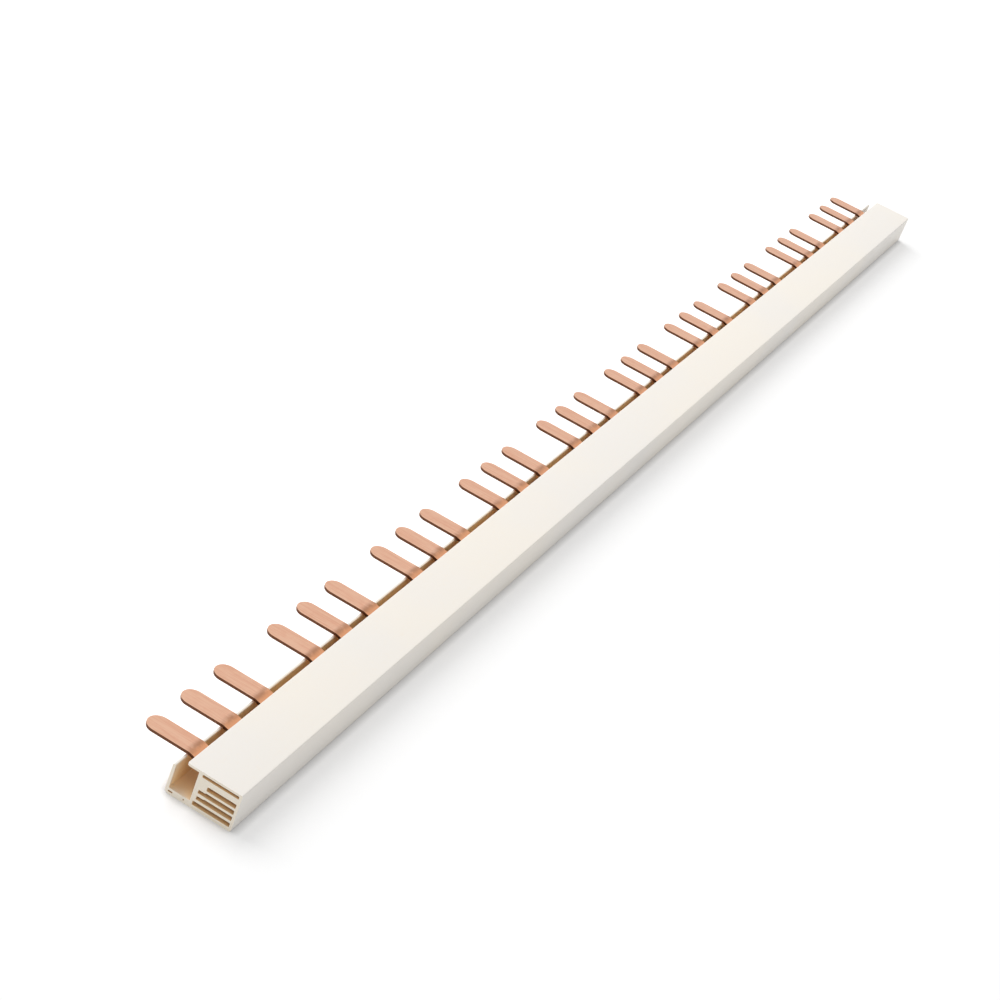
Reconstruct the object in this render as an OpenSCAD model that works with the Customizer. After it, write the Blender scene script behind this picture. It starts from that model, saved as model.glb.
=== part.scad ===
// Three-pole comb busbar: three flat copper combs, one above the other, in one extruded
// insulating profile. The bar lies along X, its tongues point to +Y and its base is at Z = 0.
// Sections are drawn with Y to the right and Z up, and measured from the front bottom edge.

/* [Layout] */
// Length of the profile
bar_l = 540; // [162:1:756]
// Distance from one group of tongues to the next
group_pitch = 54; // [51:0.5:72]
// Distance from one pole's tongue to the next pole's in a group
pole_pitch = 14.5; // [9:0.5:17]
// Distance from the profile's end to the middle of the first tongue
first_tongue = 7.7; // [6.5:0.1:12]
// Distance that the copper stops short of each end of the profile
end_recess = 3; // [1:0.5:3.5]

/* [Combs] */
// Thickness of the copper
copper_t = 0.8; // [0.6:0.1:1]
// Width of a comb's strip inside the profile
strip_w = 7.4; // [5:0.1:8]
// Width of a tongue
tongue_w = 6; // [4:0.1:7]
// How far the tongues reach out past the outer wall
tongue_reach = 12.3; // [8:0.1:16]
// Rise of a tongue on its way from the riser to its crease, in degrees
lead_slope = 15; // [8:1:20]
// Distance from the box to the foot of the risers
riser_out = 0.6; // [0.6:0.1:1.2]
// How far a riser leans out between its foot and its head
riser_lean = 0.6; // [0.4:0.1:1.5]
// Inside radius of the bends
bend_r = 0.4; // [0.2:0.05:0.5]
// Radius of the corners between a tongue and its strip
root_r = 0.4; // [0.2:0.05:0.6]

/* [Profile] */
// Width of the box that holds the chambers, from the front face to the channel
box_w = 11.5; // [10:0.1:14]
// Width of the lid, from the front face to its free edge
lid_w = 14.9; // [12:0.1:16]
// Thickness of the lid
lid_t = 0.9; // [0.6:0.1:1.4]
// Thickness of the front wall
front_t = 0.7; // [0.5:0.1:1.2]
// Thickness of the base under the lower hollow
base_t = 0.6; // [0.4:0.1:1.2]
// Width of the open channel
channel_w = 5.7; // [5:0.1:8]
// Height of the channel's floor beside the box
floor_high = 2.5; // [1.8:0.1:2.6]
// Height of the channel's floor beside the outer wall
floor_low = 1.6; // [1.2:0.1:2.2]
// Thickness of the outer wall
outer_wall_t = 0.8; // [0.6:0.1:1.4]
// Height of the outer wall
outer_wall_h = 8.2; // [7.4:0.1:8.4]
// Gap between the top of the outer wall and the tongues
wall_gap = 0.4; // [0.2:0.1:0.8]
// Radius of the profile's long outer edges
edge_r = 0.35; // [0.1:0.05:0.4]
// Radius of the edge under the outer wall
foot_r = 1; // [0.4:0.1:1.2]
// Radius of the lid's free corners, seen from above
lid_corner_r = 0.6; // [0.2:0.1:1.5]

/* [Chambers] */
// Clearance round a strip in its chamber
strip_clear = 0.2; // [0.1:0.05:0.3]
// Clearance above and below a tongue in its neck
neck_clear = 0.1; // [0.05:0.05:0.2]
// Thickness of the webs between the combs
web_t = 0.6; // [0.4:0.1:1]
// Thickness of the ribs between the combs and the hollows above and below them
rib_t = 0.9; // [0.6:0.1:1.4]
// Height of the upper and lower hollows
hollow_h = 1.2; // [0.8:0.1:1.6]
// Thickness of the wall that closes the hollows towards the channel
hollow_end_t = 0.8; // [0.6:0.1:1.2]
// Width of the two small ducts under the channel's floor
duct_w = 1.2; // [0.8:0.1:1.6]
// Height of the two small ducts
duct_h = 0.35; // [0.2:0.05:0.5]

/* [Hidden] */
$fn = 32;

// Heights, from the base up
chamber_h = copper_t + 2 * strip_clear;
comb_pitch = chamber_h + web_t;
lowest_comb = base_t + hollow_h + rib_t + chamber_h / 2;
comb_z = [for (pole = [0:2]) lowest_comb + (2 - pole) * comb_pitch];
upper_hollow = comb_z[0] + chamber_h / 2 + rib_t;
profile_h = upper_hollow + hollow_h + lid_t;
tongue_z = outer_wall_h + wall_gap + copper_t / 2;

// Distances from the front face
chamber_w = strip_w + 2 * strip_clear;
strip_edge = front_t + strip_clear + strip_w;
wall_in = box_w + channel_w;
base_w = wall_in + outer_wall_t;
tip_y = base_w + tongue_reach;
foot_y = box_w + riser_out;
head_y = foot_y + riser_lean;
crease_y = wall_in;
head_z = tongue_z - (crease_y - head_y) * tan(lead_slope);

// The copper's middle line runs round a bend at this radius
bend_mid = bend_r + copper_t / 2;
// Overrun of a cut past the surface that it opens
cut = 0.5;

last_pole = 2 * pole_pitch;
group_room = bar_l - first_tongue - last_pole - tongue_w / 2 - end_recess;
group_count = floor(group_room / group_pitch) + 1;

// Direction of the leg of a path that starts at point i
function heading(path, i) = atan2(path[i + 1].y - path[i].y, path[i + 1].x - path[i].x);
function left_of(angle) = [-sin(angle), cos(angle)];
// Number of facets in a bend
function bend_steps(turn) = max(2, ceil(abs(turn) / 12));

// Points beside the round bend at corner i of a path, at a distance to the left of its middle line
function bend_points(path, i, distance) =
    let(before = heading(path, i - 1))
    let(turn = heading(path, i) - before)
    let(side = sign(turn))
    let(trim = bend_mid * tan(abs(turn) / 2))
    let(start = path[i] - trim * [cos(before), sin(before)])
    let(centre = start + side * bend_mid * left_of(before))
    let(steps = bend_steps(turn))
    [for (k = [0 : steps])
        centre + (distance - side * bend_mid) * left_of(before + turn * k / steps)];

// Line beside a path of straight legs and round bends, at a distance to its left
function beside(path, distance) = let(last = len(path) - 1) [
    path[0] + distance * left_of(heading(path, 0)),
    for (i = [1 : last - 1]) each bend_points(path, i, distance),
    path[last] + distance * left_of(heading(path, last - 1))
];

function reversed(points) = [for (i = [len(points) - 1 : -1 : 0]) points[i]];

// Lays a section along the bar, centred on its length
module along_bar(length) {
    rotate([90, 0, 90])
        translate([0, 0, -length / 2])
            linear_extrude(height = length)
                children();
}

// Rectangle between two corners, with round corners of its own
module rounded_rect(low, high, r) {
    size = high - low;
    translate(low + [r, 0])
        square([size.x - 2 * r, size.y]);
    translate(low + [0, r])
        square([size.x, size.y - 2 * r]);
    for (x = [low.x + r, high.x - r])
        for (y = [low.y + r, high.y - r])
            translate([x, y])
                circle(r);
}

// Floor of the channel, which falls towards the outer wall and turns up round its foot
module channel_floor() {
    polygon([
        [edge_r, 0],
        [base_w - foot_r, 0],
        [base_w, foot_r],
        [base_w, floor_low],
        [wall_in, floor_low],
        [box_w, floor_high],
        [edge_r, floor_high]
    ]);
    translate([base_w - foot_r, foot_r])
        circle(foot_r);
}

module profile_outline() {
    rounded_rect([0, 0], [box_w, profile_h], edge_r);
    rounded_rect([0, profile_h - lid_t], [lid_w, profile_h], edge_r);
    rounded_rect([wall_in, foot_r], [base_w, outer_wall_h], edge_r);
    channel_floor();
}

// Chamber for one strip, with the neck that lets its tongues out into the channel
module comb_chamber(z) {
    translate([front_t, z - chamber_h / 2])
        square([chamber_w, chamber_h]);
    neck_h = copper_t + 2 * neck_clear;
    translate([front_t + chamber_w / 2, z - neck_h / 2])
        square([box_w - front_t - chamber_w / 2 + cut, neck_h]);
}

// Closed hollow that saves material above and below the combs
module hollow(z) {
    translate([front_t, z])
        square([box_w - hollow_end_t - front_t, hollow_h]);
}

module duct(y) {
    translate([y, base_t])
        square([duct_w, duct_h]);
}

module profile_section() {
    difference() {
        profile_outline();
        hollow(base_t);
        hollow(upper_hollow);
        for (z = comb_z)
            comb_chamber(z);
        duct(box_w);
        duct(wall_in - duct_w);
    }
}

// What is cut away to round one free corner of the lid; side is -1 or 1 along X
module lid_corner_cut(side) {
    translate([side * bar_l / 2, lid_w, profile_h - lid_t - cut])
        difference() {
            cube([2 * lid_corner_r, 2 * lid_corner_r, 2 * (lid_t + 2 * cut)], center = true);
            translate([-side * lid_corner_r, -lid_corner_r, -lid_t - 3 * cut])
                cylinder(h = 2 * (lid_t + 3 * cut), r = lid_corner_r);
        }
}

module insulating_profile() {
    color("ivory")
        translate([0, -tip_y / 2, 0])
            difference() {
                along_bar(bar_l)
                    profile_section();
                for (side = [-1, 1])
                    lid_corner_cut(side);
            }
}

// Side view of the copper bent along a path
module bent_strip(path) {
    polygon(concat(
        beside(path, -copper_t / 2),
        reversed(beside(path, copper_t / 2))
    ));
}

// Round inner corners where a tongue leaves its strip
module tongue_root(z) {
    corner_x = tongue_w / 2 + root_r;
    difference() {
        translate([-corner_x, strip_edge - root_r, z - copper_t / 2])
            cube([2 * corner_x, 2 * root_r, copper_t]);
        for (side = [-1, 1])
            translate([side * corner_x, strip_edge + root_r, z - copper_t])
                cylinder(h = 2 * copper_t, r = root_r);
    }
}

// One tongue: out of the neck, up the channel, out under the lid and over the outer wall,
// with a full round tip
module tongue(z) {
    round_y = tip_y - tongue_w / 2;
    path = [
        [strip_edge - root_r, z],
        [foot_y, z],
        [head_y, head_z],
        [crease_y, tongue_z],
        [round_y, tongue_z]
    ];
    along_bar(tongue_w)
        bent_strip(path);
    translate([0, round_y, tongue_z - copper_t / 2])
        cylinder(h = copper_t, r = tongue_w / 2);
    tongue_root(z);
}

// Comb of one pole, counted from 0
module comb(pole) {
    z = comb_z[pole];
    translate([0, -tip_y / 2, 0]) {
        translate([-bar_l / 2 + end_recess, strip_edge - strip_w, z - copper_t / 2])
            cube([bar_l - 2 * end_recess, strip_w, copper_t]);
        for (group = [0 : group_count - 1])
            translate([-bar_l / 2 + first_tongue + pole * pole_pitch + group * group_pitch, 0, 0])
                tongue(z);
    }
}

module comb_l1() {
    color("peru")
        comb(0);
}

module comb_l2() {
    color("peru")
        comb(1);
}

module comb_l3() {
    color("peru")
        comb(2);
}

insulating_profile();
comb_l1();
comb_l2();
comb_l3();
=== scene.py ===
"""Dresses, lights and frames a three-pole comb busbar in Blender."""

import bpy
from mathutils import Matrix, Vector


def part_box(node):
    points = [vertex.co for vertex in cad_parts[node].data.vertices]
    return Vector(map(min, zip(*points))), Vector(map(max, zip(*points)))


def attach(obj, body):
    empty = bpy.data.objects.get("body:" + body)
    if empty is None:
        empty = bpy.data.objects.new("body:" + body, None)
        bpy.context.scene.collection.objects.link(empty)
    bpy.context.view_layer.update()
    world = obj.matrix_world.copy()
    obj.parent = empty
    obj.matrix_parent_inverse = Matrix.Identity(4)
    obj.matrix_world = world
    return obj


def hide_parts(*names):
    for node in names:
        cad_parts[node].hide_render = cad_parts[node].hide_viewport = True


bl_info = {
    "name": "Comb busbar",
    "version": (1, 0, 0),
    "blender": (4, 5, 0),
    "location": "View3D > Sidebar > Busbar",
    "description": "Dresses a comb busbar of copper tongues in a plastic profile, and sets its stage",
    "category": "Object",
}

import math

import bmesh
import bpy
from mathutils import Matrix, Vector

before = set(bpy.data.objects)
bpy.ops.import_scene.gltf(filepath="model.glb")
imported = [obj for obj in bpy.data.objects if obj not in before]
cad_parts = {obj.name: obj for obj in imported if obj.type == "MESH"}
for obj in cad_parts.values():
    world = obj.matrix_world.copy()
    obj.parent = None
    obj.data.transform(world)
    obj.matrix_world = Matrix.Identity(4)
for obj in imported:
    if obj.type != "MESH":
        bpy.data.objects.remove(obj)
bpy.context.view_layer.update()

PROFILE = "insulating_profile"
COMBS = ("comb_l1", "comb_l2", "comb_l3")
# Thickness of the copper, and the gap between the tongues and the outer wall under them
COPPER = 0.0008
WALL_GAP = 0.0004
# Facets in a quarter of a round corner
CORNER_FACETS = 6
# Edges that turn more than these angles, in degrees, are sharp, or are broken by the deburring
SHARP_ANGLE = 40
DEBURR_ANGLE = 50
# Corners of the mesh that lie this close are one
WELD_GAP = 0.000001
# Overrun of a cutter past the surface that it opens
OVERRUN = 0.0005
# Part of half the height of a duct that its round corners take
DUCT_ROUND = 0.9

# Masks are soft steps: each runs from nothing at its first value to full at its second.
# How far the surface faces along the bar where it is sawn
SAWN = (0.8, 0.95)
# How open the place is where the plastic gets painted warm light from the copper, and where it gets its
# darkest painted shade
WARM_LIGHT = (0.93, 0.40)
DARKEST = (0.28, 0.04)
DARKEST_SHARE = 0.7
# Half the length over which the painted warm light fades at the bare far end, and what is left of it there
TINT_FADE = 0.003
TINT_LEFT = 0.1
# Clouds and specks in the plastic, with their shares and the clouds' size in grains
PLASTIC_CLOUDS = (0.35, 0.65)
PLASTIC_CLOUD_SHARE = 0.35
CLOUD_GRAINS = 40
SPECKS = (0.52, 0.75)
SPECK_SHARE = 0.05
# Streaks and clouds in the copper, with their shares and the clouds' fineness
STREAKS = (0.40, 0.66)
STREAK_SHARE = 0.75
COPPER_CLOUDS = (0.45, 0.75)
COPPER_CLOUD_SHARE = 0.45
COPPER_CLOUD_SCALE = 330.0
# How far the surface faces sideways, or out, on the cut side faces and tips, which get painted shade
SHADOWED_SIDE = (0.35, 0.8)
SHADOWED_TIP = (0.6, 0.9)
SHADOWED_SHARE = 0.95
# Shares of the painted warm reflection on the rise and of the painted shade along the crease
RISE_REFLECTION_SHARE = 0.9
CREASE_SHADE_SHARE = 0.8

# Distance out from the bar's middle over which the floor's lift behind it grows; this extra lift is painted
# light that washes out the tongues' shadows
BEHIND = (-0.002, 0.012)
# Distance from the bar over which the floor turns white, so that no horizon shows, and how white
FAR = (0.4, 1.6)
FAR_WHITE = 0.7
# Camera's sensor width in millimetres, and the distances that it sees between
SENSOR = 36.0
CLIP = (0.01, 50.0)


# Sizes and colours that a user would change


def colour(name, description, default):
    return bpy.props.FloatVectorProperty(
        name=name,
        description=description,
        subtype="COLOR",
        size=3,
        min=0.0,
        max=1.0,
        default=default,
    )


def length(name, description, default, low=0.0, high=1.0):
    return bpy.props.FloatProperty(
        name=name,
        description=description,
        unit="LENGTH",
        min=low,
        max=high,
        precision=5,
        default=default,
    )


def factor(name, description, default, high=1.0):
    return bpy.props.FloatProperty(
        name=name, description=description, subtype="FACTOR", min=0.0, max=high, default=default
    )


class BUSBAR_PG_section(bpy.types.PropertyGroup):
    """Section of the extruded profile; its width, height and length come from the frame."""

    box: length("Box width", "From the front face to the channel", 0.0115)
    lid_reach: length("Lid width", "From the front face to the lid's free edge", 0.0149)
    lid: length("Lid thickness", "Thickness of the lid", 0.0006)
    base: length("Base thickness", "Thickness of the base under the lower hollow", 0.00095)
    front: length("Front wall", "Thickness of the front wall", 0.0007)
    outer: length("Outer wall", "Thickness of the wall outside the channel", 0.0008)
    floor: length("Channel floor", "Thickness of the channel's floor", 0.0016)
    edge: length("Edge radius", "Radius of the long outer edges", 0.0003)
    heel: length("Heel radius", "Radius of the edge under the front face", 0.0005)
    foot: length("Foot radius", "Radius of the edge under the outer wall", 0.001)
    hollow_edge: length("Hollow radius", "Radius of the corners in the chambers and hollows", 0.00025)
    chamber: length("Chamber width", "Width of the chamber round a comb's strip", 0.0078)
    chamber_height: length("Chamber height", "Height of the chamber round a comb's strip", 0.0012)
    chamber_lift: length("Chamber lift", "Air under the strip, which lies low in its chamber", 0.00012)
    neck: length("Neck height", "Height of the slit that lets the tongues out", 0.001)
    neck_end: length("Blind neck", "Width of the lower necks' blind ends at the end of the bar", 0.0103)
    end_web: length("End web", "Length of the bar's end over which the necks stay closed", 0.003)
    lower_hollow: length("Lower hollow", "Height of the lower hollow", 0.00115)
    upper_hollow: length("Upper hollow", "Height of the upper hollow", 0.00078)
    hollow_end: length("Hollow end wall", "Wall between the lower hollow and the channel", 0.0007)
    upper_end: length("Upper end wall", "Wall between the upper hollow and the channel", 0.0010)
    duct: length("Duct width", "Width of the small duct under the outer wall", 0.0013)
    duct_height: length("Duct height", "Height of the small ducts", 0.0004)
    lid_corner: length("Lid corner radius", "Radius of the lid's free corners, seen from above", 0.0009)
    deburr: length("Deburring", "Width of the broken edges at the sawn ends", 0.00005)


class BUSBAR_PG_plastic(bpy.types.PropertyGroup):
    """Finish of the extruded profile, with its painted warm light and painted shade."""

    shell: colour("Shell", "Colour of the outer skin", (0.88, 0.842, 0.79))
    # Inside is painted warm light that the copper throws into the chambers and the channel, and Deep is
    # painted shade in their darkest places
    inside: colour("Inside", "Warmer colour deep in the chambers and the channel", (1.0, 0.74, 0.42))
    deep: colour("Deep", "Colour of the darkest places, next to the copper", (0.45, 0.20, 0.07))
    # Bare end is the far end that gets no painted warm light
    bare: length("Bare end", "Length of the far end that the copper doesn't tint", 0.0125, 0.0, 0.1)
    cut: colour("Cut ends", "Colour of the sawn ends", (0.95, 0.87, 0.74))
    roughness: factor("Roughness", "How dull the extruded skin is", 0.40)
    inside_reach: length("Inside reach", "How far off a facing wall still counts as inside", 0.008, 0.001)
    grain: length("Grain", "Size of the mottling in the skin", 0.0012, 0.0002, 0.01)
    die_line: length("Die lines", "Spacing of the fine lines along the bar", 0.00045, 0.0001, 0.005)
    saw_mark: length("Saw marks", "Spacing of the marks across the sawn ends", 0.0003, 0.0001, 0.005)


class BUSBAR_PG_copper(bpy.types.PropertyGroup):
    """Finish of the copper combs, with painted reflection on the rise and painted shade at the crease and
    the cut edges.
    """

    metal: colour("Metal", "Colour of the rolled copper", (0.99, 0.61, 0.43))
    tarnish: colour("Tarnish", "Colour of the duller streaks", (0.89, 0.46, 0.30))
    # Slope is a painted warm reflection on the tongues' rise under the lid's edge
    slope: colour("Slope", "Colour of the polished rise under the lid's edge", (0.92, 0.43, 0.215))
    # Worn crease is painted shade along the bend at the crease
    shaded: colour("Worn crease", "Colour of the band along the crease", (0.50, 0.24, 0.14))
    # Cut edges is painted shade on the side faces and tips of the tongues
    edge: colour("Cut edges", "Colour of the punched edges", (0.10, 0.035, 0.014))
    roughness: factor("Roughness", "How dull the brushed faces are", 0.36)
    brush: length("Brush marks", "Spacing of the marks along a tongue", 0.0006, 0.0001, 0.005)
    crease: length("Crease", "How far the crease lies beyond the lid's edge", 0.0023, 0.0, 0.01)
    crease_width: length("Crease width", "Width of the worn band at the crease", 0.0016, 0.0002, 0.01)
    edge_round: length("Edge rounding", "Radius of the edges of the stamped copper", 0.00007, 0.0, 0.0003)


class BUSBAR_PG_stage(bpy.types.PropertyGroup):
    """Floor, backdrop and lamps."""

    floor: colour("Floor", "Colour of the floor and backdrop", (0.90, 0.90, 0.90))
    floor_seen: colour("Floor in view", "The lit floor's share of what the camera sees", (0.66, 0.66, 0.66))
    floor_size: length("Floor size", "Width of the floor", 8.0, 1.0, 40.0)
    lift: factor("Floor lift", "White that the camera sees on top of the lit floor", 0.36)
    # Lift behind is painted light on the tongues' side, which washes out their shadows on the floor
    behind: factor("Lift behind", "More of it on the tongues' side, where the light is", 0.30)
    contact: length("Contact shadow", "Reach of the dark line where the bar meets the floor", 0.0025)
    world: factor("World light", "Strength of the even light from all round", 0.74, 4.0)
    key: bpy.props.FloatProperty(
        name="Key lamp",
        description="Power of the large lamp above the tongues' side",
        unit="POWER",
        min=0.0,
        default=29.5,
    )
    key_size: length("Key size", "Width of the large lamp", 1.8, 0.05, 10.0)
    key_place: bpy.props.FloatVectorProperty(
        name="Key place",
        description="Where the large lamp hangs",
        subtype="TRANSLATION",
        unit="LENGTH",
        size=3,
        default=(0.3, 1.3, 1.4),
    )


class BUSBAR_PG_camera(bpy.types.PropertyGroup):
    """Viewpoint."""

    place: bpy.props.FloatVectorProperty(
        name="Place",
        description="Where the camera stands",
        subtype="TRANSLATION",
        unit="LENGTH",
        size=3,
        default=(-0.6514, -0.14865, 0.3282),
    )
    look: bpy.props.FloatVectorProperty(
        name="Look",
        description="Direction in which the camera looks",
        subtype="DIRECTION",
        size=3,
        default=(0.8427, 0.2305, -0.4866),
    )
    up: bpy.props.FloatVectorProperty(
        name="Up",
        description="Direction that is up in the picture",
        subtype="DIRECTION",
        size=3,
        default=(0.3376, 0.4779, 0.8109),
    )
    lens: bpy.props.FloatProperty(
        name="Lens",
        description="Focal length on a sensor 36 mm wide",
        unit="CAMERA",
        min=10.0,
        default=83.16,
    )


class BUSBAR_PG_settings(bpy.types.PropertyGroup):
    """All settings of the busbar scene."""

    section: bpy.props.PointerProperty(type=BUSBAR_PG_section)
    plastic: bpy.props.PointerProperty(type=BUSBAR_PG_plastic)
    copper: bpy.props.PointerProperty(type=BUSBAR_PG_copper)
    stage: bpy.props.PointerProperty(type=BUSBAR_PG_stage)
    camera: bpy.props.PointerProperty(type=BUSBAR_PG_camera)


# Shader helpers


class Shader:
    """A material's node tree, with short calls that add and join its nodes."""

    def __init__(self, name):
        self.material = bpy.data.materials.new(name)
        self.material.use_nodes = True
        self.tree = self.material.node_tree
        self.tree.nodes.clear()
        self.output = self.tree.nodes.new("ShaderNodeOutputMaterial")

    def node(self, kind, inputs=None, **settings):
        made = self.tree.nodes.new("ShaderNode" + kind)
        for key, value in settings.items():
            setattr(made, key, value)
        for key, value in (inputs or {}).items():
            self.put(made.inputs[key], value)
        return made

    def put(self, socket, value):
        if isinstance(value, bpy.types.NodeSocket):
            self.tree.links.new(value, socket)
        elif isinstance(value, bpy.types.Node):
            self.tree.links.new(value.outputs[0], socket)
        elif hasattr(value, "__len__") and socket.type == "RGBA" and len(value) == 3:
            socket.default_value = (*value, 1.0)
        else:
            socket.default_value = value

    def math(self, operation, first, second=0.0, clamp=False):
        return self.node("Math", {0: first, 1: second}, operation=operation, use_clamp=clamp)

    def times(self, first, second):
        return self.math("MULTIPLY", first, second)

    def plus(self, first, second, clamp=False):
        return self.math("ADD", first, second, clamp)

    def mix(self, share, first, second):
        made = self.node("Mix", data_type="RGBA")
        self.put(made.inputs["Factor"], share)
        self.put(made.inputs["A"], first)
        self.put(made.inputs["B"], second)
        return made.outputs["Result"]

    def ramp(self, value, low, high):
        """Soft step from 0 at low to 1 at high"""
        made = self.node("MapRange", {"Value": value, "From Min": low, "From Max": high}, clamp=True)
        made.interpolation_type = "SMOOTHSTEP"
        return made.outputs["Result"]

    def noise(self, place, scale, detail=3.0, roughness=0.55):
        inputs = {"Vector": place, "Scale": scale, "Detail": detail, "Roughness": roughness}
        return self.node("TexNoise", inputs).outputs["Fac"]

    def stretched(self, place, scale):
        return self.node("Mapping", {"Vector": place, "Scale": scale})

    def part(self, vector, axis):
        return self.node("SeparateXYZ", {"Vector": vector}).outputs[axis]

    def openness(self, reach, local):
        """1 on a free surface, and less the more lies within reach of it"""
        made = self.node("AmbientOcclusion", {"Distance": reach}, samples=12, only_local=local)
        return made.outputs["AO"]

    def finish(self, shader):
        self.tree.links.new(shader.outputs[0], self.output.inputs["Surface"])
        return self.material


def dress(node_name, material):
    """Gives a CAD node one material in place of its slots."""
    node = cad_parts[node_name]
    slots = node.data.materials
    if not slots:
        slots.append(material)
    for index in range(len(slots)):
        slots[index] = material
    return node


# Materials


def plastic_material(finish, tint_end):
    """Extruded plastic, with painted warm light from the copper and painted shade deep in its recesses, and
    sawn at its ends.
    """
    s = Shader("extruded_plastic")
    spot = s.node("TexCoord")
    place = spot.outputs["Object"]
    grain = s.noise(place, 1.0 / finish.grain, 4.0)
    cloud = s.noise(place, 1.0 / (CLOUD_GRAINS * finish.grain), 2.0)
    die_lines = s.noise(s.stretched(place, (0.02, 1.0, 1.0)), 1.0 / finish.die_line, 2.0)
    saw_marks = s.noise(s.stretched(place, (1.0, 0.1, 1.0)), 1.0 / finish.saw_mark, 2.0)

    facing = s.part(spot.outputs["Normal"], "X")
    sawn = s.ramp(s.math("ABSOLUTE", facing), *SAWN)
    openness = s.openness(finish.inside_reach, True)
    reached = s.ramp(s.part(place, "X"), tint_end + TINT_FADE, tint_end - TINT_FADE)
    tint = s.plus(s.times(reached, 1.0 - TINT_LEFT), TINT_LEFT)

    tone = finish.shell
    for share, shade in (
        (s.times(s.ramp(cloud, *PLASTIC_CLOUDS), PLASTIC_CLOUD_SHARE), finish.cut),
        (sawn, finish.cut),
        # Painted warm light from the copper in the recesses, and painted shade in the darkest of them
        (s.times(s.ramp(openness, *WARM_LIGHT), tint), finish.inside),
        (s.times(s.ramp(openness, *DARKEST), DARKEST_SHARE), finish.deep),
        (s.times(s.ramp(grain, *SPECKS), SPECK_SHARE), finish.inside),
    ):
        tone = s.mix(share, tone, shade)

    rough = s.plus(s.times(die_lines, 0.14), finish.roughness - 0.06)
    rough = s.plus(rough, s.times(sawn, 0.25), clamp=True)
    height = s.plus(s.plus(die_lines, grain), s.times(s.times(saw_marks, sawn), 2.0))
    bump = s.node("Bump", {"Strength": 0.2, "Distance": 0.00004, "Height": height})
    inputs = {"Base Color": tone, "Roughness": rough, "Normal": bump, "IOR": 1.53}
    return s.finish(s.node("BsdfPrincipled", inputs))


def copper_material(finish, lid_edge):
    """Rolled copper, brushed along the tongues, with a painted reflection on the rise and painted shade
    along the crease and on the cut edges.
    """
    s = Shader("rolled_copper")
    spot = s.node("TexCoord")
    place = spot.outputs["Object"]
    marks = s.noise(s.stretched(place, (1.0, 0.05, 1.0)), 1.0 / finish.brush, 4.0, 0.7)
    fine = s.noise(s.stretched(place, (1.0, 0.1, 1.0)), 4.0 / finish.brush, 2.0)
    cloud = s.noise(place, COPPER_CLOUD_SCALE, 4.0, 0.65)

    # The rise up to the crease gets a painted warm reflection, and the crease gets a band of painted shade
    # on both sides
    out = s.part(place, "Y")
    crease = lid_edge + finish.crease
    band = finish.crease_width / 2
    rise = s.ramp(out, crease + band, crease - band)
    off = s.math("ABSOLUTE", s.math("SUBTRACT", out, crease))
    shaded = s.times(s.ramp(off, finish.crease_width, 0.0), s.ramp(cloud, 0.2, 0.6))

    # The side faces and tips get painted shade, broken up by the clouds
    sideways = s.math("ABSOLUTE", s.part(spot.outputs["Normal"], "X"))
    outwards = s.part(spot.outputs["Normal"], "Y")
    cut = s.math("MAXIMUM", s.ramp(sideways, *SHADOWED_SIDE), s.ramp(outwards, *SHADOWED_TIP))
    shadowed = s.times(cut, s.ramp(cloud, 0.05, 0.4))

    tone = finish.metal
    for share, shade in (
        (s.times(s.ramp(marks, *STREAKS), STREAK_SHARE), finish.tarnish),
        (s.times(s.ramp(cloud, *COPPER_CLOUDS), COPPER_CLOUD_SHARE), finish.tarnish),
        # Painted warm reflection on the rise, then painted shade along the crease
        (s.times(rise, RISE_REFLECTION_SHARE), finish.slope),
        (s.times(shaded, CREASE_SHADE_SHARE), finish.shaded),
        (s.times(shadowed, SHADOWED_SHARE), finish.edge),
    ):
        tone = s.mix(share, tone, shade)

    rough = s.plus(s.times(fine, 0.2), finish.roughness - 0.1)
    rough = s.plus(rough, s.times(shadowed, 0.2), clamp=True)
    bump = s.node("Bump", {"Strength": 0.35, "Distance": 0.00003, "Height": s.plus(marks, fine)})
    inputs = {"Base Color": tone, "Metallic": 1.0, "Roughness": rough, "Normal": bump}
    return s.finish(s.node("BsdfPrincipled", inputs))


def floor_material(settings):
    """Pale floor that looks white to the camera and still takes the bar's shadow."""
    s = Shader("studio_floor")
    place = s.node("TexCoord").outputs["Object"]
    path = s.node("LightPath")
    seen = s.math("MAXIMUM", path.outputs["Is Camera Ray"], path.outputs["Is Glossy Ray"])
    away = s.node("VectorMath", {0: place}, operation="LENGTH").outputs["Value"]
    # Painted light behind the bar, over the tongues' shadows
    behind = s.times(s.ramp(s.part(place, "Y"), *BEHIND), settings.behind)
    far = s.times(s.ramp(away, *FAR), FAR_WHITE)
    contact = s.math("POWER", s.openness(settings.contact, False), 2.0)
    lift = s.plus(s.plus(behind, far), settings.lift)
    lift = s.times(lift, s.times(seen, contact))
    lit = s.node("BsdfDiffuse", {"Color": s.mix(seen, settings.floor, settings.floor_seen)})
    glow = s.node("Emission", {"Color": (1.0, 1.0, 1.0), "Strength": lift})
    return s.finish(s.node("AddShader", {0: lit, 1: glow}))


# Profile


def arc(centre, radius, start, turn):
    """Points of a round corner, from a direction in degrees through a turn in degrees."""
    angles = [math.radians(start + turn * k / CORNER_FACETS) for k in range(CORNER_FACETS + 1)]
    return [(centre[0] + radius * math.cos(a), centre[1] + radius * math.sin(a)) for a in angles]


def slot(low, high, radius):
    """Rectangle between two corners, with round corners of its own."""
    left, right = low[0] + radius, high[0] - radius
    lower, upper = low[1] + radius, high[1] - radius
    corners = [((left, lower), 180), ((right, lower), 270), ((right, upper), 0), ((left, upper), 90)]
    return [point for centre, start in corners for point in arc(centre, radius, start, 90)]


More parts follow.
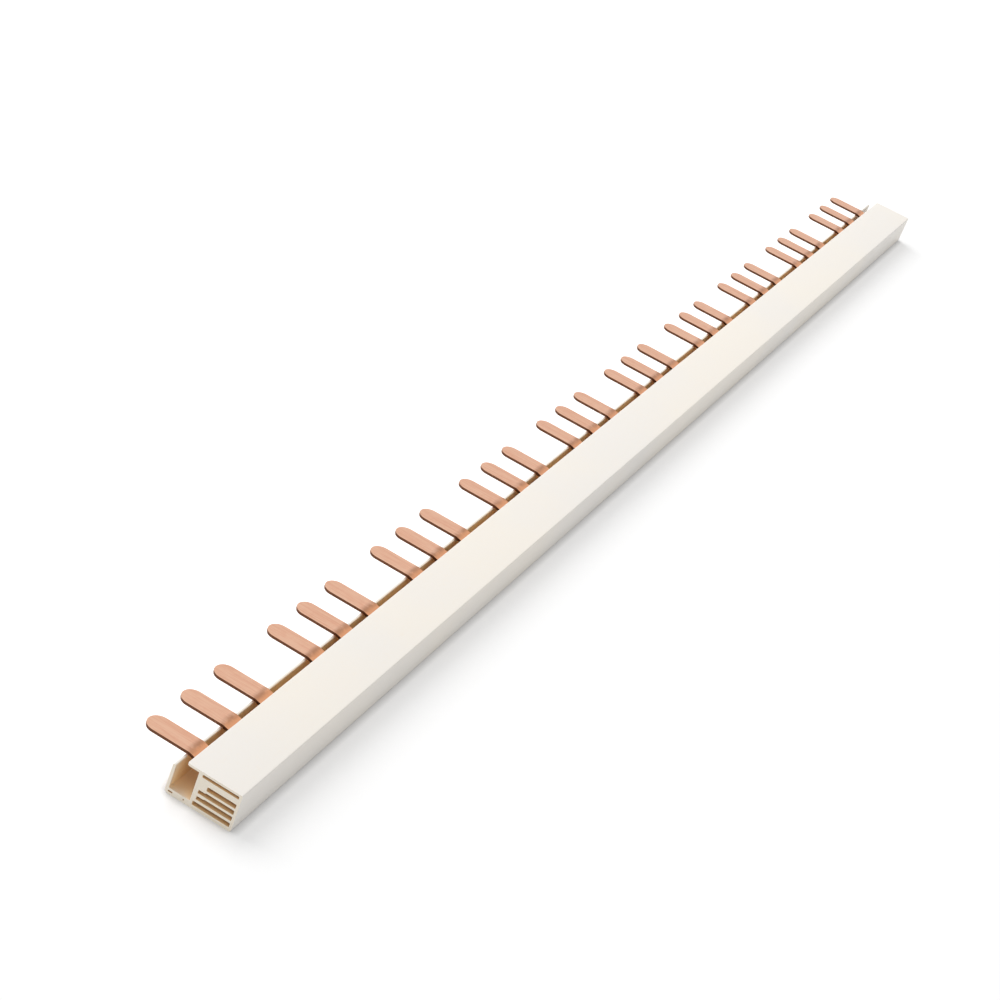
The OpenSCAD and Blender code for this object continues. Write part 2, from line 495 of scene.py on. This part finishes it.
def section_outline(s, width, height, wall_height):
    """Outside of the section, measured from the front bottom edge: base, outer wall, channel, lid."""
    wall_in = width - s.outer
    lid_low = height - s.lid
    e, f = s.edge, s.hollow_edge
    return [
        *arc((s.heel, s.heel), s.heel, 180, 90),
        *arc((width - s.foot, s.foot), s.foot, 270, 90),
        *arc((width - e, wall_height - e), e, 0, 90),
        *arc((wall_in + e, wall_height - e), e, 90, 90),
        *arc((wall_in - f, s.floor + f), f, 0, -90),
        *arc((s.box + f, s.floor + f), f, 270, -90),
        *arc((s.box + f, lid_low - f), f, 180, -90),
        *arc((s.lid_reach - e, lid_low + e), e, 270, 90),
        *arc((s.lid_reach - e, height - e), e, 0, 90),
        *arc((e, height - e), e, 90, 90),
    ]


def section_holes(s, width, height, strips):
    """Chambers round the strips, the two hollows and the two small ducts."""
    r = s.hollow_edge
    holes = []
    for strip_low in strips:
        low = strip_low - s.chamber_lift
        holes.append(slot((s.front, low), (s.front + s.chamber, low + s.chamber_height), r))
    upper = height - s.lid - s.upper_hollow
    holes.append(slot((s.front, s.base), (s.box - s.hollow_end, s.base + s.lower_hollow), r))
    holes.append(slot((s.front, upper), (s.box - s.upper_end, upper + s.upper_hollow), r))
    duct_low = (s.floor - s.duct_height) / 2
    duct_end = width - s.outer
    duct_high = duct_low + s.duct_height
    duct_r = DUCT_ROUND * s.duct_height / 2
    small_duct = s.box + s.duct
    holes.append(slot((duct_end - s.duct, duct_low), (duct_end, duct_high), duct_r))
    holes.append(slot((small_duct, duct_low), (small_duct + s.duct_height, duct_high), duct_r))
    return holes


def extrusion(name, loops, start, stop, offset=(0.0, 0.0), upright=False):
    """Piece with a section, and holes in it, that runs along the bar, or upright."""
    form = bmesh.new()
    ends = []
    for along in (start, stop):
        rings = []
        for loop in loops:
            spots = [(u + offset[0], v + offset[1]) for u, v in loop]
            rings.append([form.verts.new((u, v, along) if upright else (along, u, v)) for u, v in spots])
        rim = [form.edges.new(pair) for ring in rings for pair in zip(ring, ring[1:] + ring[:1])]
        bmesh.ops.triangle_fill(form, use_beauty=True, use_dissolve=False, edges=rim)
        ends.append(rings)
    for near, far in zip(*ends):
        for i in range(len(near)):
            form.faces.new((near[i - 1], near[i], far[i], far[i - 1]))
    bmesh.ops.recalc_face_normals(form, faces=form.faces)
    mesh = bpy.data.meshes.new(name)
    form.to_mesh(mesh)
    form.free()
    piece = bpy.data.objects.new(name, mesh)
    bpy.context.scene.collection.objects.link(piece)
    return piece


def carve(piece, cutters):
    """Takes the cutters out of a piece for good."""
    for cutter in cutters:
        change = piece.modifiers.new("carve", "BOOLEAN")
        change.operation = "DIFFERENCE"
        change.solver = "EXACT"
        change.object = cutter
    view = bpy.context.evaluated_depsgraph_get()
    mesh = bpy.data.meshes.new_from_object(piece.evaluated_get(view))
    piece.modifiers.clear()
    plain, piece.data = piece.data, mesh
    bpy.data.meshes.remove(plain)
    for cutter in cutters:
        used = cutter.data
        bpy.data.objects.remove(cutter)
        bpy.data.meshes.remove(used)
    mesh.name = piece.name
    if not mesh.polygons:
        raise RuntimeError(piece.name + " was lost while its openings were cut")


def box_loop(low, high):
    """Rectangle between two corners."""
    return [(low[0], low[1]), (high[0], low[1]), (high[0], high[1]), (low[0], high[1])]


def neck_cutters(s, strips, near, far, front):
    """Slits for the tongues, closed over the end web, and the lower ones' blind ends there."""
    cutters = []
    inner = s.front + s.chamber - OVERRUN
    for index, strip_low in enumerate(strips):
        low = strip_low + (COPPER - s.neck) / 2
        through = box_loop((inner, low), (s.box + OVERRUN, low + s.neck))
        cutters.append(extrusion("neck", [through], near + s.end_web, far + OVERRUN, (front, 0.0)))
        if index < len(strips) - 1:
            blind = box_loop((inner, low), (s.neck_end, low + s.neck))
            start, stop = near - OVERRUN, near + s.end_web + OVERRUN
            cutters.append(extrusion("blind_neck", [blind], start, stop, (front, 0.0)))
    return cutters


def lid_corner_cutters(s, near, far, free_edge, height):
    """What is cut away to round the two free corners of the lid."""
    cutters = []
    r = s.lid_corner
    low, high = height - s.lid - OVERRUN / 4, height + OVERRUN
    for end, side in ((near, -1), (far, 1)):
        middle = (end - side * r, free_edge - r)
        start, turn = (180, -90) if side < 0 else (0, 90)
        loop = arc(middle, r, start, turn)
        loop += [(middle[0], free_edge + OVERRUN), (end + side * OVERRUN, free_edge + OVERRUN)]
        loop.append((end + side * OVERRUN, middle[1]))
        cutters.append(extrusion("lid_corner", [loop], low, high, upright=True))
    return cutters


def make_profile(s):
    """The extruded profile, with its chambers, hollows and closed necks at the near end."""
    low, high = (Vector(corner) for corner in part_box(PROFILE))
    width, height = high.y - low.y, high.z - low.z
    strips = sorted(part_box(name)[0][2] for name in COMBS)
    wall_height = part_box(COMBS[0])[1][2] - COPPER - WALL_GAP
    loops = [section_outline(s, width, height, wall_height), *section_holes(s, width, height, strips)]
    piece = extrusion("extruded_profile", loops, low.x, high.x, (low.y, low.z))
    cutters = neck_cutters(s, strips, low.x, high.x, low.y)
    cutters += lid_corner_cutters(s, low.x, high.x, low.y + s.lid_reach, high.z)
    carve(piece, cutters)
    piece.data.shade_smooth()
    piece.data.set_sharp_from_angle(angle=math.radians(SHARP_ANGLE))
    add_rounding(piece, s.deburr)
    return piece


def add_rounding(piece, radius):
    """Breaks the sharp edges of a piece."""
    weld = piece.modifiers.new("weld", "WELD")
    weld.merge_threshold = WELD_GAP
    bevel = piece.modifiers.new("edges", "BEVEL")
    bevel.width = radius
    bevel.segments = 2
    bevel.limit_method = "ANGLE"
    bevel.angle_limit = math.radians(DEBURR_ANGLE)
    bevel.miter_outer = "MITER_ARC"


# Stage


def lamp(name, power, size, place):
    """Large soft lamp that points at the middle of the bar and doesn't show in the copper."""
    data = bpy.data.lights.new(name, "AREA")
    data.shape = "DISK"
    data.size = size
    data.energy = power
    made = bpy.data.objects.new(name, data)
    made.location = place
    made.visible_glossy = False
    made.rotation_euler = (-Vector(place)).to_track_quat("-Z", "Y").to_euler()
    bpy.context.scene.collection.objects.link(made)
    return made


def set_world(strength):
    """Even light from all round, which looks white to the camera and in the copper."""
    world = bpy.data.worlds.new("studio")
    world.use_nodes = True
    tree = world.node_tree
    tree.nodes.clear()
    output = tree.nodes.new("ShaderNodeOutputWorld")
    light = tree.nodes.new("ShaderNodeBackground")
    light.inputs["Strength"].default_value = strength
    shown = tree.nodes.new("ShaderNodeBackground")
    shown.inputs["Strength"].default_value = 1.0
    path = tree.nodes.new("ShaderNodeLightPath")
    either = tree.nodes.new("ShaderNodeMath")
    either.operation = "MAXIMUM"
    tree.links.new(path.outputs["Is Camera Ray"], either.inputs[0])
    tree.links.new(path.outputs["Is Glossy Ray"], either.inputs[1])
    mix = tree.nodes.new("ShaderNodeMixShader")
    tree.links.new(either.outputs[0], mix.inputs[0])
    tree.links.new(light.outputs[0], mix.inputs[1])
    tree.links.new(shown.outputs[0], mix.inputs[2])
    tree.links.new(mix.outputs[0], output.inputs["Surface"])
    bpy.context.scene.world = world


def make_floor(settings):
    """Flat floor under the bar."""
    half = settings.floor_size / 2
    mesh = bpy.data.meshes.new("studio_floor")
    corners = [(-half, -half, 0.0), (half, -half, 0.0), (half, half, 0.0), (-half, half, 0.0)]
    mesh.from_pydata(corners, [], [(0, 1, 2, 3)])
    floor = bpy.data.objects.new("studio_floor", mesh)
    mesh.materials.append(floor_material(settings))
    bpy.context.scene.collection.objects.link(floor)
    return floor


def make_camera(settings):
    """Camera at its place, with the roll that its up direction gives."""
    data = bpy.data.cameras.new("camera")
    data.lens = settings.lens
    data.sensor_width = SENSOR
    data.clip_start, data.clip_end = CLIP
    camera = bpy.data.objects.new("camera", data)
    back = -Vector(settings.look).normalized()
    right = Vector(settings.up).cross(back).normalized()
    up = back.cross(right)
    turn = Matrix((right, up, back)).transposed().to_4x4()
    camera.matrix_world = Matrix.Translation(settings.place) @ turn
    bpy.context.scene.collection.objects.link(camera)
    bpy.context.scene.camera = camera
    return camera


# Operators


class BUSBAR_OT_profile(bpy.types.Operator):
    """Make and dress the extruded plastic profile"""

    bl_idname = "busbar.profile"
    bl_label = "Insulating profile"

    def execute(self, context):
        settings = context.scene.busbar
        piece = make_profile(settings.section)
        piece.data.materials.clear()
        tint_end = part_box(PROFILE)[1][0] - settings.plastic.bare
        piece.data.materials.append(plastic_material(settings.plastic, tint_end))
        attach(piece, "root")
        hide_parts(PROFILE)
        return {"FINISHED"}


class BUSBAR_OT_combs(bpy.types.Operator):
    """Dress the three copper combs"""

    bl_idname = "busbar.combs"
    bl_label = "Copper combs"

    def execute(self, context):
        settings = context.scene.busbar
        lid_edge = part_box(PROFILE)[0][1] + settings.section.lid_reach
        material = copper_material(settings.copper, lid_edge)
        for name in COMBS:
            add_rounding(dress(name, material), settings.copper.edge_round)
        return {"FINISHED"}


class BUSBAR_OT_stage(bpy.types.Operator):
    """Set the floor, the lamps, the world and the camera"""

    bl_idname = "busbar.stage"
    bl_label = "Stage"

    def execute(self, context):
        settings = context.scene.busbar
        context.scene.view_settings.view_transform = "Standard"
        make_floor(settings.stage)
        set_world(settings.stage.world)
        lamp("key", settings.stage.key, settings.stage.key_size, settings.stage.key_place)
        make_camera(settings.camera)
        return {"FINISHED"}


class BUSBAR_PT_panel(bpy.types.Panel):
    """Lists the busbar's operators and settings"""

    bl_idname = "BUSBAR_PT_panel"
    bl_label = "Comb busbar"
    bl_space_type = "VIEW_3D"
    bl_region_type = "UI"
    bl_category = "Busbar"

    def draw(self, context):
        settings = context.scene.busbar
        for operator in OPERATORS:
            self.layout.operator(operator.bl_idname)
        groups = (settings.section, settings.plastic, settings.copper, settings.stage, settings.camera)
        for group in groups:
            box = self.layout.box()
            for key in group.__annotations__:
                box.prop(group, key)


OPERATORS = (BUSBAR_OT_profile, BUSBAR_OT_combs, BUSBAR_OT_stage)
CLASSES = (
    BUSBAR_PG_section,
    BUSBAR_PG_plastic,
    BUSBAR_PG_copper,
    BUSBAR_PG_stage,
    BUSBAR_PG_camera,
    BUSBAR_PG_settings,
    *OPERATORS,
    BUSBAR_PT_panel,
)


def register():
    for cls in CLASSES:
        bpy.utils.register_class(cls)
    bpy.types.Scene.busbar = bpy.props.PointerProperty(type=BUSBAR_PG_settings)


def unregister():
    del bpy.types.Scene.busbar
    for cls in reversed(CLASSES):
        bpy.utils.unregister_class(cls)


def main():
    register()
    bpy.ops.busbar.profile()
    bpy.ops.busbar.combs()
    bpy.ops.busbar.stage()


if __name__ == "__main__":
    main()
